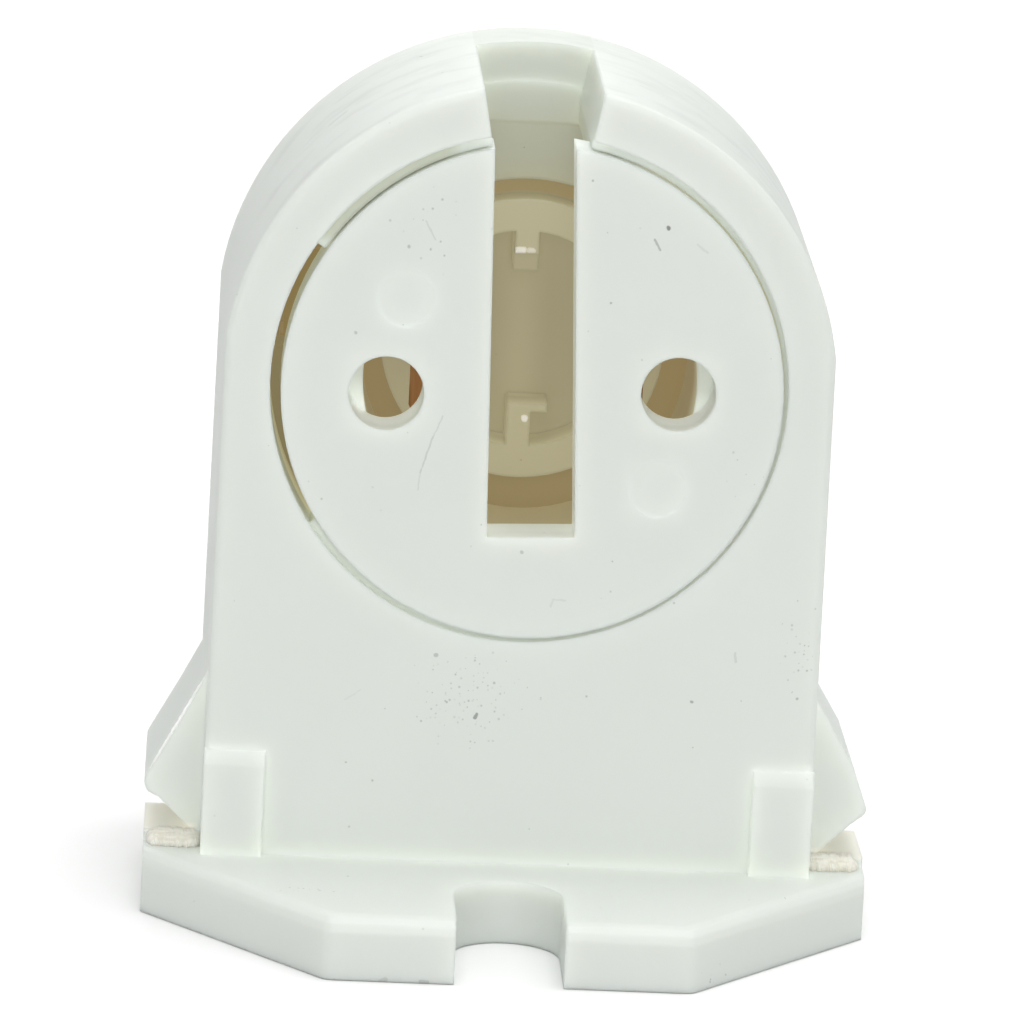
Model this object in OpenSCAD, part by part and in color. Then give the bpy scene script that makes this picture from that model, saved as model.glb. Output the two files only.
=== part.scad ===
// Rotary holder for a bi-pin fluorescent tube, moulded in white plastic.
// x runs to the right, y runs into the holder and z runs up.
// The origin lies on the underside, below the middle of the body's front face.

/* [Body] */
// Width of the body at its foot
body_foot_w = 26.9; // [26.7:0.1:27.6]
// Width of the body at the height of the dome's centre
body_top_w = 26.52; // [26.4:0.02:26.6]
// Depth of the body from front to back
body_depth = 16; // [16:0.1:20]
// Radius of the dome at the front
dome_r = 13.38; // [13.34:0.02:13.6]
// Rise of the dome's centre above the rotor's axis at the front
dome_rise = 0.15; // [0:0.05:0.5]
// Widening of each side from the front to the back
side_flare = 0.3; // [0:0.05:0.5]
// Thickness of the side walls, the front wall and the dome
wall_t = 1.75; // [1.3:0.05:1.9]
// Thickness of the floor
floor_t = 2; // [1.5:0.1:2.6]
// Radius of the rounded front edge
edge_r = 0.4; // [0.2:0.05:0.6]

/* [Rotor] */
// Height of the rotor's axis above the underside
axis_z = 24; // [23.5:0.1:27]
// Sideways shift of the rotor's axis from the middle of the body
axis_x = 0.14; // [-0.2:0.02:0.2]
// Diameter of the rotor's front disc
disc_d = 21.86; // [21.2:0.02:22]
// Thickness of the front disc
disc_t = 2.7; // [2:0.1:3]
// Gap round the rim of the disc at the front
rim_gap = 0.33; // [0.32:0.01:0.4]
// Depth of the wide front part of that gap
rim_step = 0.5; // [0.3:0.1:1]
// Turn of the rotor, to the left as seen from the front
rotor_turn = 2.2; // [-5:0.1:5]
// Distance between the tube's two pins
pin_pitch = 12.7; // [12.4:0.1:13]
// Diameter of the holes for the pins
pin_hole_d = 3.28; // [2.6:0.02:3.4]
// Width of the slot at the rim of the disc
slot_rim_w = 3.5; // [3:0.1:4]
// Width of the slot at its floor
slot_floor_w = 3.84; // [3:0.02:4]
// Distance of the slot's floor below the axis
slot_drop = 6.4; // [5.5:0.1:6.6]
// Outer diameter of the barrel behind the disc
barrel_d = 17.8; // [17.4:0.1:18.2]
// Inner diameter of the barrel
barrel_bore_d = 14.66; // [14.4:0.02:15]
// Room between the barrel and the rear cover
barrel_room = 3.7; // [3.6:0.1:4.2]
// Height of the snap lip round the barrel
lip_h = 0.6; // [0.3:0.1:0.8]
// Width of the slot through the barrel's wall
barrel_slot_w = 4.6; // [4.2:0.1:5]
// Diameter of the two round ejector marks
mark_d = 2.5; // [2:0.1:3]

/* [Pin notch] */
// Width of the notch from the rim of the disc inwards
notch_w = 4.3; // [4:0.1:4.6]
// Width of the notch at the top of the dome
notch_mouth_w = 5.3; // [4.8:0.1:6]
// Room between the notch and the rear cover
notch_room = 1.6; // [1.5:0.05:1.8]
// Step in the notch's back wall, below the dome's wall
notch_step = 0.12; // [0.05:0.01:0.3]

/* [Base flange] */
// Thickness of the flange
flange_t = 2.8; // [2.4:0.1:3.5]
// Width of the flange from tip to tip
flange_w = 31.9; // [30:0.1:36]
// Width of the flange's front edge
flange_front_w = 15.8; // [12:0.1:20]
// Reach of the flange in front of the body
flange_reach = 9.3; // [8:0.1:12]
// Length of the flange along the body's sides
flange_back = 6; // [5:0.1:10]
// Width of the screw slot
screw_slot_w = 4.72; // [4.3:0.02:5.4]
// Length of the screw slot
screw_slot_l = 6.55; // [5:0.05:7.5]
// Radius of the flange's rounded front and corners
flange_r = 0.7; // [0.4:0.1:1]
// Height of the ears above the flange
ear_h = 0.5; // [0.3:0.1:0.8]
// Distance of the ears behind the front face
ear_set = 1.7; // [1:0.1:3]

/* [Snap wings] */
// Reach of a wing's tip beyond the body's side
wing_reach = 2.6; // [2.5:0.05:3.4]
// Height of a wing's tip above the flange
wing_tip_h = 2.6; // [2.3:0.1:3]
// Height of the bend in a wing's outer face above the flange
wing_bend_h = 4.6; // [4:0.1:5.5]
// Height of a wing's top above the flange
wing_top_h = 7.7; // [7:0.1:10]
// Distance of a wing behind the front face
wing_set = 2; // [1:0.1:4]
// Length of a wing from front to back
wing_l = 8; // [3:0.1:8.5]

/* [Corner ribs] */
// Width of a corner rib
rib_w = 2.7; // [2:0.1:3.5]
// Height of a corner rib above the flange
rib_h = 4.7; // [3:0.1:6]
// Height of a corner rib above the front face
rib_proud = 0.4; // [0.2:0.1:0.8]

/* [Contacts] */
// Thickness of the contact strip
strip_t = 0.35; // [0.25:0.05:0.4]
// Width of the bowed strip that touches a pin
bow_w = 4; // [3:0.1:5]
// Radius of the strip's bow
bow_r = 4.5; // [4:0.1:5.5]
// Diameter of a pin of the tube
pin_d = 2.35; // [2.29:0.01:2.67]
// Diameter of the wire entries
wire_d = 2.2; // [1.8:0.1:2.4]
// Distance between the two wires of a contact
wire_pitch = 3.1; // [3:0.1:3.3]

/* [Rear cover] */
// Thickness of the cover
cover_t = 2; // [1.6:0.1:2.2]
// Setback of the cover from the body's rear edge
cover_set = 0.4; // [0:0.1:0.5]
// Gap round the cover
cover_gap = 0.1; // [0.05:0.01:0.15]
// Thickness of the body's walls round the cover
seat_wall = 1.2; // [1:0.05:1.25]
// Outer diameter of the cover's ring
ring_d = 12.8; // [12.2:0.1:13.4]
// Inner diameter of the cover's ring
ring_bore_d = 9.9; // [9:0.1:10.6]
// Width of the tabs inside the ring
tab_w = 1.05; // [0.8:0.05:1.4]
// Length of the tabs inside the ring
tab_l = 1.95; // [1.4:0.05:2.4]

/* [Hidden] */

white = [0.86, 0.88, 0.85];
shade_white = [0.72, 0.70, 0.58];
bronze = [0.66, 0.42, 0.24];

fine = 96;
small = 32;
over = 1;

// Heights of the dome and slopes of the sides
dome_z = axis_z + dome_rise;
dome_top = dome_z + dome_r;
draft = atan((body_foot_w - body_top_w) / 2 / dome_z);
edge_shift = 0.05;
shoulder_z = dome_z + sqrt(dome_r * dome_r - body_top_w * body_top_w / 4);
flare = atan(side_flare / body_depth);

// Depths of the cover and of the notch
cover_back = body_depth - cover_set;
cover_front = cover_back - cover_t;
notch_depth = cover_front - notch_room;

// Radii and depths of the rotor and of its seat in the body
disc_r = disc_d / 2;
disc_gap = 0.06;
seat_r = disc_r + disc_gap;
recess_r = disc_r + rim_gap;
barrel_r = barrel_d / 2;
bore_r = barrel_bore_d / 2;
bearing_gap = 0.08;
end_gap = 0.1;
bearing_r = barrel_r + bearing_gap;
lip_r = barrel_r + lip_h;
lip_t = 0.8;
recess_depth = disc_t + end_gap;
ledge_t = 1.6;
ledge_back = recess_depth + ledge_t;
lip_front = ledge_back + end_gap;
barrel_back = cover_front - barrel_room;
relief_w = 1;
relief_angle = 120;
mark_depth = 0.06;
pin_step = 0.05;
mark_at = [-5.5, 4.2];
collar_t = 1.2;

// The open stretch of the rim gap on the left
window_w = 0.8;
window_from = 147;
window_to = 214;

// The trough that carries the pin notch through the hollow body
trough_wall = 1.2;
trough_clear = 0.4;
trough_x = notch_w / 2 + trough_wall;
trough_z = axis_z + lip_r + trough_clear;
notch_back_t = 1.2;
divider_t = 1.2;

// The flange, the ears and the wings
wing_tip_r = 0.4;
wing_flat_tip_r = 0.7;
wing_bend_x = 1.9;
wing_blend_r = 1.5;
wing_flat_x = 1.2;
wing_under = [1.95, 1.9];
wing_flat_h = wing_top_h - (wing_top_h - wing_tip_h) * wing_flat_x / wing_reach;
rib_bevel_h = 0.6;
rib_bevel_t = 0.25;

// The contact strips, which lie between the barrel and the cover
pin_inner = (pin_pitch - pin_d) / 2;
bow_front = disc_t + 0.7;
bow_l = barrel_back - bow_front - 0.9;
bow_mid = bow_front + bow_l / 2;
strip_front = barrel_back + 0.6;
strip_back = strip_front + strip_t;
arm_low = axis_z + 0.6;
arm_top = axis_z + 4;
seat_side = 0.3;
leg_x = body_top_w / 2 - wall_t - seat_side - 0.4;
leg_w = 2.6;
tongue_w = 2.3;
wire_y = strip_back + 1.05;
wire_mid = leg_x - wire_pitch / 2 - tongue_w / 2 - strip_t / 2;
clamp_low = floor_t + 2;
clamp_top = clamp_low + 6.5;
entry_lead = 0.3;

// The cover, its ring and the ribs that hold the contacts down
clamp_back = cover_front - 0.35;
cover_inset = seat_wall + cover_gap;
ring_front = notch_depth;
ring_r = ring_d / 2;
ring_bore_r = ring_bore_d / 2;
hollow_depth = 0.8;
hollow_r = (ring_bore_r * ring_bore_r + hollow_depth * hollow_depth) / 2 / hollow_depth;
tab_step = 0.6;
tab_low_l = 1.05;
foot_w = 0.75;
foot_h = 0.35;
seat_rib_w = 1.3;
seat_rib_l = 2.4;
seat_gap = 0.1;
seat_rib_low = clamp_top + 2;
bead_r = 0.4;
bead_proud = 0.2;
bead_low = 9;
bead_top = 19;

// Half of the body's width at a height and a depth
function side_x(z, y = 0) =
    body_foot_w / 2 - (body_foot_w - body_top_w) / 2 * z / dome_z + side_flare * y / body_depth;

// Sideways place of the beads that snap the cover in
bead_x = side_x(bead_low, cover_front + cover_t / 2) - cover_inset - bead_r + bead_proud;

// Points of an arc round a centre
function arc(c, r, a0, a1, n) = [for (i = [0:n]) c + r * [cos(a0 + (a1 - a0) * i / n), sin(a0 + (a1 - a0) * i / n)]];

// A front view, drawn in x and z, as a plate from one depth to another
module slab(y0, y1) {
    translate([0, y1, 0])
        rotate([90, 0, 0])
            linear_extrude(y1 - y0)
                children();
}

// A round bar along y through the rotor's height
module drum(r, y0, y1, x = 0, z = axis_z) {
    translate([x, y1, z])
        rotate([90, 0, 0])
            cylinder(r = r, h = y1 - y0, $fn = fine);
}

// The domed block, set in by a wall, above a floor, from one depth to another
// The dome is a cone whose top line runs level, and its sides carry on down as flat faces
module block(inset, low, y0, y1) {
    far = 2 * body_depth;
    intersection() {
        translate([-body_foot_w, y0, low])
            cube([2 * body_foot_w, y1 - y0, dome_top]);
        union() {
            translate([0, 0, dome_z])
                rotate([-90 - flare, 0, 0])
                    translate([0, 0, -body_depth])
                        cylinder(
                            r1 = dome_r - side_flare - inset,
                            r2 = dome_r + 2 * side_flare - inset,
                            h = body_depth + far,
                            $fn = fine
                        );
            translate([-body_foot_w, -body_depth, -body_depth])
                cube([2 * body_foot_w, body_depth + far, dome_z + body_depth]);
        }
        intersection_for (side = [0, 1])
            mirror([side, 0, 0])
                translate([body_foot_w / 2 - inset, 0, 0])
                    rotate([0, -draft, -flare])
                        translate([-4 * dome_r, -far, -far])
                            cube([4 * dome_r, 2 * far, 4 * far]);
    }
}

// What a rounded edge takes off a square corner, with the rounding's centre at the origin
module corner_waste(r) {
    difference() {
        translate([0, -r - over])
            square([r + over, r + over]);
        circle(r = r, $fn = small);
    }
}

// The body's outer form with its rounded front edge
module body_block() {
    difference() {
        block(0, 0, 0, body_depth);
        intersection() {
            translate([0, edge_r, dome_z])
                rotate([-90, 0, 0])
                    rotate_extrude($fn = fine)
                        translate([dome_r - edge_r + edge_shift, 0])
                            corner_waste(edge_r);
            translate([-body_foot_w, -2 * over, shoulder_z])
                cube([2 * body_foot_w, body_depth, dome_r + over]);
        }
        for (side = [0, 1])
            mirror([side, 0, 0])
                translate([body_foot_w / 2 - edge_r + edge_shift, edge_r, 0])
                    rotate([0, -draft, 0])
                        linear_extrude(shoulder_z)
                            corner_waste(edge_r);
    }
}

// The flange in plan, drawn in by an inset at its front edges
module flange_plan(inset) {
    intersection() {
        translate([-flange_w / 2, -flange_reach])
            square([flange_w, flange_reach + flange_back]);
        offset(r = flange_r, $fn = small)
            offset(delta = -flange_r - inset)
                polygon([
                    [-flange_front_w / 2, -flange_reach],
                    [flange_front_w / 2, -flange_reach],
                    [flange_w / 2, 0],
                    [flange_w / 2 + 2 * flange_r, flange_r],
                    [flange_w / 2 + 2 * flange_r, flange_back + 2 * flange_r],
                    [-flange_w / 2 - 2 * flange_r, flange_back + 2 * flange_r],
                    [-flange_w / 2 - 2 * flange_r, flange_r],
                    [-flange_w / 2, 0]
                ]);
    }
}

// The flange with its rounded top edge and the raised ear of each side
module flange() {
    hull() {
        linear_extrude(flange_t - flange_r)
            flange_plan(0);
        for (a = [30, 60, 90])
            translate([0, 0, flange_t - flange_r])
                linear_extrude(flange_r * sin(a))
                    flange_plan(flange_r * (1 - cos(a)));
    }
    translate([-flange_w / 2, ear_set, 0])
        cube([flange_w, flange_back - ear_set, flange_t + ear_h]);
}

// The slot for the fixing screw, open to the front
module screw_slot() {
    slot_end = -flange_reach + screw_slot_l - screw_slot_w / 2;
    translate([0, slot_end, -over])
        cylinder(d = screw_slot_w, h = flange_t + 2 * over, $fn = small);
    translate([-screw_slot_w / 2, -flange_reach - over, -over])
        cube([screw_slot_w, slot_end + flange_reach + over, flange_t + 2 * over]);
}

// A snap wing on the right, its outer face bent at a place and blended into the body's side
module wing(bend, tip_r) {
    side = side_x(flange_t + wing_tip_h);
    tip = [wing_reach - tip_r, wing_tip_h];
    tip_turn = atan((wing_reach - bend[0]) / (bend[1] - wing_tip_h));
    top = [0, wing_top_h];
    wing_slope = atan((wing_top_h - bend[1]) / bend[0]);
    blend_l = wing_blend_r * tan((90 - wing_slope) / 2);
    blend_c = top + [wing_blend_r, blend_l];
    slab(wing_set, wing_set + wing_l)
        translate([side, flange_t])
            polygon(concat(
                [[-wall_t, -over], [0, 0], wing_under],
                arc(tip, tip_r, -45, tip_turn, 5),
                [bend],
                arc(blend_c, wing_blend_r, 270 - wing_slope, 180, 5),
                [[-wall_t, wing_top_h + blend_l]]
            ));
}

// A corner rib on the right, with its bevelled top
module corner_rib() {
    rib_top = flange_t + rib_h;
    translate([side_x(flange_t) - rib_w, 0, 0])
        rotate([90, 0, 90])
            linear_extrude(rib_w)
                polygon([
                    [edge_r + rib_proud, 0],
                    [edge_r + rib_proud, rib_top],
                    [0, rib_top],
                    [-rib_proud + rib_bevel_t, rib_top],
                    [-rib_proud, rib_top - rib_bevel_h],
                    [-rib_proud, 0]
                ]);
}

// The hollow of the body, less the walls that stand in it
module cavity() {
    difference() {
        block(wall_t, floor_t, wall_t, body_depth + over);
        drum(recess_r + collar_t, 0, ledge_back);
        slab(0, notch_depth + notch_back_t)
            translate([-trough_x, trough_z])
                square([2 * trough_x, dome_r]);
        difference() {
            slab(notch_depth, notch_depth + notch_back_t)
                translate([-trough_x, axis_z])
                    square([2 * trough_x, dome_r]);
            drum(bore_r, notch_depth - over, body_depth, axis_x);
        }
        slab(0, cover_front - seat_gap)
            translate([-divider_t / 2, 0])
                square([divider_t, axis_z - recess_r - collar_t / 2]);
        for (side = [0, 1])
            mirror([side, 0, 0])
                translate([leg_x - seat_rib_w, strip_front - seat_gap - seat_rib_l, 0])
                    cube([wall_t + seat_rib_w + seat_side, seat_rib_l, axis_z]);
    }
}

// The open stretch of the rim gap, an arc seen from the front
module rim_window() {
    intersection() {
        difference() {
            drum(recess_r, 0, ledge_back + over, 0, dome_z);
            drum(recess_r - window_w, -over, ledge_back + 2 * over, 0, dome_z);
        }
        slab(0, ledge_back + over)
            translate([0, axis_z])
                polygon(concat([[0, 0]], arc([0, 0], 2 * recess_r, window_from, window_to, 4)));
    }
}

// The front view of the pin notch, flared towards the dome's top
module notch_view() {
    rim_z = axis_z + disc_r;
    flare = (notch_mouth_w - notch_w) / 2 / (dome_top - rim_z);
    high = dome_top + over;
    polygon([
        [-notch_w / 2, axis_z],
        [notch_w / 2, axis_z],
        [notch_w / 2, rim_z],
        [notch_w / 2 + flare * (high - rim_z), high],
        [-notch_w / 2 - flare * (high - rim_z), high],
        [-notch_w / 2, rim_z]
    ]);
}

// A wire entry with its tapered lead-in
module wire_entry() {
    translate([0, 0, -over])
        cylinder(d = wire_d, h = floor_t + 2 * over, $fn = small);
    translate([0, 0, -entry_lead / 2])
        cylinder(r1 = wire_d / 2 + entry_lead, r2 = wire_d / 2, h = 1.5 * entry_lead, $fn = small);
}

module housing() {
    color(white)
        difference() {
            union() {
                body_block();
                flange();
                wing([wing_bend_x, wing_bend_h], wing_tip_r);
                mirror([1, 0, 0])
                    wing([wing_flat_x, wing_flat_h], wing_flat_tip_r);
                for (side = [0, 1])
                    mirror([side, 0, 0])
                        corner_rib();
            }
            cavity();
            screw_slot();
            drum(recess_r, -over, rim_step, 0, dome_z);
            drum(seat_r, 0, recess_depth, axis_x);
            drum(bearing_r, 0, ledge_back + over, axis_x);
            rim_window();
            slab(-over, notch_depth - notch_step)
                notch_view();
            difference() {
                slab(notch_depth - over, notch_depth)
                    notch_view();
                drum(dome_r - wall_t, 0, body_depth, 0, dome_z);
            }
            block(seat_wall, seat_wall, cover_front, body_depth + over);
            for (side = [-1, 1]) {
                for (i = [-1, 1])
                    translate([axis_x + side * (wire_mid + i * wire_pitch / 2), wire_y, 0])
                        wire_entry();
                translate([side * bead_x, cover_front + cover_t / 2, bead_low - seat_gap])
                    cylinder(r = bead_r + seat_gap, h = bead_top - bead_low + 2 * seat_gap, $fn = small);
            }
        }
}

module rotor() {
    color(white)
        translate([axis_x, 0, axis_z])
            rotate([0, -rotor_turn, 0])
                difference() {
                    union() {
                        drum(disc_r, 0, disc_t, 0, 0);
                        drum(barrel_r, disc_t / 2, barrel_back, 0, 0);
                        drum(lip_r, lip_front, lip_front + lip_t, 0, 0);
                    }
                    drum(bore_r, disc_t, barrel_back + over, 0, 0);
                    slab(-over, disc_t + over)
                        polygon([
                            [-slot_floor_w / 2, -slot_drop],
                            [slot_floor_w / 2, -slot_drop],
                            [slot_rim_w / 2, disc_r + over],
                            [-slot_rim_w / 2, disc_r + over]
                        ]);
                    slab(disc_t, barrel_back + over)
                        translate([-barrel_slot_w / 2, 0])
                            square([barrel_slot_w, disc_r]);
                    for (a = [-relief_angle, relief_angle])
                        rotate([0, a, 0])
                            slab(lip_front - end_gap, barrel_back + over)
                                translate([-relief_w / 2, bore_r - over])
                                    square([relief_w, disc_r]);
                    for (side = [-1, 1]) {
                        drum(pin_hole_d / 2, -over, disc_t + pin_step, side * pin_pitch / 2, 0);
                        drum(mark_d / 2, -over, mark_depth, -side * mark_at[0], -side * mark_at[1]);
                    }
                }
}

module rear_cover() {
    color(shade_white) {
        difference() {
            block(cover_inset, cover_inset, cover_front, cover_back);
            intersection() {
                drum(ring_bore_r, ring_front, cover_back, axis_x);
                translate([axis_x, cover_front + hollow_depth - hollow_r, axis_z - ring_r])
                    cylinder(r = hollow_r, h = 2 * ring_r, $fn = 2 * fine);
            }
        }
        difference() {
            drum(ring_r, ring_front, cover_front + cover_t / 2, axis_x);
            drum(ring_bore_r, ring_front - over, body_depth, axis_x);
        }
        slab(ring_front, cover_front + cover_t / 2)
            translate([axis_x, axis_z]) {
                translate([-tab_w / 2, ring_bore_r - tab_low_l])
                    square([tab_w, ring_r - ring_bore_r + tab_low_l - seat_gap]);
                translate([-tab_w / 2, -ring_r + seat_gap])
                    square([tab_w, ring_r - seat_gap - ring_bore_r + tab_l]);
                translate([tab_w / 2 - seat_gap, -ring_bore_r + tab_l - foot_h])
                    square([foot_w + seat_gap, foot_h]);
            }
        slab(ring_front + tab_step, cover_front + cover_t / 2)
            translate([axis_x - tab_w / 2 - seat_gap / 2, axis_z + ring_bore_r - tab_l])
                square([tab_w + seat_gap, tab_l]);
        for (side = [-1, 1]) {
            translate([side * bead_x, cover_front + cover_t / 2, bead_low])
                cylinder(r = bead_r, h = bead_top - bead_low, $fn = small);
            translate([side * (leg_x - seat_rib_w / 2) - seat_rib_w / 2, strip_back + seat_gap, seat_rib_low])
                cube([seat_rib_w, cover_back - strip_back - seat_gap - cover_t / 2, axis_z - seat_rib_low]);
        }
    }
}

// Unit vector from one point to another
function toward(p, q) = (q - p) / norm(q - p);

// Shift of a path's point to one side, so that both stretches beside it move by half the strip
function miter(path, i) =
    let (
        a = toward(path[max(i - 1, 0)], path[max(i, 1)]),
        b = toward(path[min(i, len(path) - 2)], path[min(i + 1, len(path) - 1)]),
        m = [-a[1] - b[1], a[0] + b[0]]
    )
    m * strip_t / (m * [-a[1], a[0]]) / 2;

// A bent strip seen edge on, along a path of its middle line
module strip_view(path) {
    last = len(path) - 1;
    polygon(concat(
        [for (i = [0:last]) path[i] + miter(path, i)],
        [for (i = [last:-1:0]) path[i] - miter(path, i)]
    ));
}

module contact() {
    half = strip_t / 2;
    bow_mid_r = bow_r - half;
    bow_c = [pin_inner - bow_r, bow_mid];
    spread = asin(bow_l / 2 / bow_mid_r);
    root_x = bow_c[0] + bow_mid_r * cos(spread);
    tongues_x = wire_mid - wire_pitch / 2 - tongue_w / 2;
    color(bronze) {
        translate([0, 0, axis_z - bow_w / 2])
            linear_extrude(bow_w)
                strip_view(concat(
                    arc(bow_c, bow_mid_r, -spread, spread, 10),
                    [[root_x, strip_front + half]]
                ));
        slab(strip_front, strip_back)
            polygon([
                [root_x - strip_t, axis_z - bow_w / 2 - half],
                [root_x + strip_t, axis_z - bow_w / 2 - half],
                [root_x + strip_t, arm_low],
                [leg_x - leg_w, arm_low],
                [leg_x - leg_w, clamp_top],
                [tongues_x - half, clamp_top],
                [tongues_x - half, clamp_low],
                [leg_x, clamp_low],
                [leg_x, arm_top],
                [root_x - strip_t, arm_top]
            ]);
        for (i = [0, 1])
            translate([tongues_x + i * wire_pitch, 0, 0])
                rotate([90, 0, 90])
                    linear_extrude(tongue_w)
                        strip_view([
                            [strip_front + half, clamp_top - strip_t],
                            [clamp_back - half, clamp_top - strip_t],
                            [clamp_back - half, clamp_low + 1],
                            [wire_y - 0.3, clamp_low + 4]
                        ]);
    }
}

module contact_left() {
    translate([axis_x, 0, 0])
        mirror([1, 0, 0])
            contact();
}

module contact_right() {
    translate([axis_x, 0, 0])
        contact();
}

housing();
rotor();
rear_cover();
contact_left();
contact_right();
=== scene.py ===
"""Looks of the rotary holder for a bi-pin fluorescent tube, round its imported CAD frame."""

import logging
import math
from dataclasses import dataclass, field
from enum import Enum
from functools import partial
from typing import Any

import bpy
import numpy as np
from mathutils import Matrix, Vector


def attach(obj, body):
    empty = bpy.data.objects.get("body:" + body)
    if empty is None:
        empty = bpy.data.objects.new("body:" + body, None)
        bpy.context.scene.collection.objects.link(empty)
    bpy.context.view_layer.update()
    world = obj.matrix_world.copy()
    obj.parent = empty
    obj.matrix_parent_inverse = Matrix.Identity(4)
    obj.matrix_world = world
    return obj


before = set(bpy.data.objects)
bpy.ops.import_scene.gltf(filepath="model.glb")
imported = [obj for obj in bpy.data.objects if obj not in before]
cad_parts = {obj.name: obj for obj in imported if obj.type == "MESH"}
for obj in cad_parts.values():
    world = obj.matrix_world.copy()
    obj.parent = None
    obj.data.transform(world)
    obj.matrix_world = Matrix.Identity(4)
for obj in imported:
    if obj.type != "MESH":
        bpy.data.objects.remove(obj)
log = logging.getLogger("lamp_holder")

MM = 0.001
HOLDER = "holder"

# The rotor's axis runs along y through this place (mm).
AXIS_X = 0.14
AXIS_Z = 24.0
# Left of the first place and above the second one the disc leans on its seat (mm).
SEATED_X = -3.4
SEATED_Z = 30.2

Point = tuple[float, float, float]
Tree = bpy.types.NodeTree
Socket = bpy.types.NodeSocket


class Slot(Enum):
    """The record's material slots."""

    HOUSING = "housing_plastic"


def linear(code: str) -> tuple[float, float, float, float]:
    """Turns an sRGB hex colour into linear light.

    Args:
        code: Six hex digits, red first.

    Returns:
        Red, green, blue and an alpha of 1.
    """
    values = [int(code[i:i + 2], 16) / 255 for i in (0, 2, 4)]
    rgb = [v / 12.92 if v <= 0.04045 else ((v + 0.055) / 1.055) ** 2.4 for v in values]
    return rgb[0], rgb[1], rgb[2], 1.0


def add_node(tree: Tree, kind: str, inputs: Any = (), out: int = 0, **settings: Any) -> Socket:
    """Adds one node with its settings and links.

    Args:
        tree: The node tree that gets the node.
        kind: The node's type, without the words ShaderNode.
        inputs: Outputs to link or plain values, in order, or by input name or number.
        out: Number of the output that is wanted.
        **settings: Properties of the node itself.

    Returns:
        The wanted output, or the node's first input where it has no output.
    """
    node = tree.nodes.new("ShaderNode" + kind)
    for name, value in settings.items():
        setattr(node, name, value)
    for key, value in inputs.items() if isinstance(inputs, dict) else enumerate(inputs):
        if isinstance(value, bpy.types.NodeSocket):
            tree.links.new(value, node.inputs[key])
        else:
            node.inputs[key].default_value = value
    return node.outputs[out] if node.outputs else node.inputs[0]


def mixed(tree: Tree, share: Any, first: Any, second: Any) -> Socket:
    """Mixes two colours.

    Args:
        tree: The node tree that gets the node.
        share: Share of the second colour.
        first: Colour where the share is 0.
        second: Colour where the share is 1.

    Returns:
        The output that holds the mixed colour.
    """
    return add_node(tree, "Mix", {0: share, 6: first, 7: second}, out=2, data_type="RGBA")


def joined(tree: Tree, operation: str, *values: Any) -> Any:
    """Joins values by one operation of the Math node, from left to right.

    Args:
        tree: The node tree that gets the nodes.
        operation: The operation, such as MULTIPLY or MAXIMUM.
        *values: Outputs or plain numbers.

    Returns:
        The last node's output, or the value itself where there is only one.
    """
    total = values[0]
    for value in values[1:]:
        total = add_node(tree, "Math", (total, value), operation=operation)
    return total


def new_material(name: str) -> tuple[bpy.types.Material, Tree]:
    """Makes an empty node material.

    Args:
        name: The material's name.

    Returns:
        The material and its tree.
    """
    material = bpy.data.materials.new(name)
    material.use_nodes = True
    material.node_tree.nodes.clear()
    return material, material.node_tree


@dataclass(frozen=True)
class Mark:
    """A dot, scratch, spot of polish or painted highlight, drawn from one place to another (mm)."""

    start: Point
    end: Point
    width: float
    strength: float


@dataclass(frozen=True)
class Patch:
    """A stretch of handling dirt, an ellipsoid full of fine specks (mm)."""

    centre: Point
    half: Point
    share: float


def dot(x: float, z: float, width: float, strength: float) -> Mark:
    """A round speck on the front."""
    return Mark((x, 0.0, z), (x, 0.0, z), width, strength)


def stroke(x0: float, z0: float, x1: float, z1: float, width: float, strength: float) -> Mark:
    """A straight scratch on the front."""
    return Mark((x0, 0.0, z0), (x1, 0.0, z1), width, strength)


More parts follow.
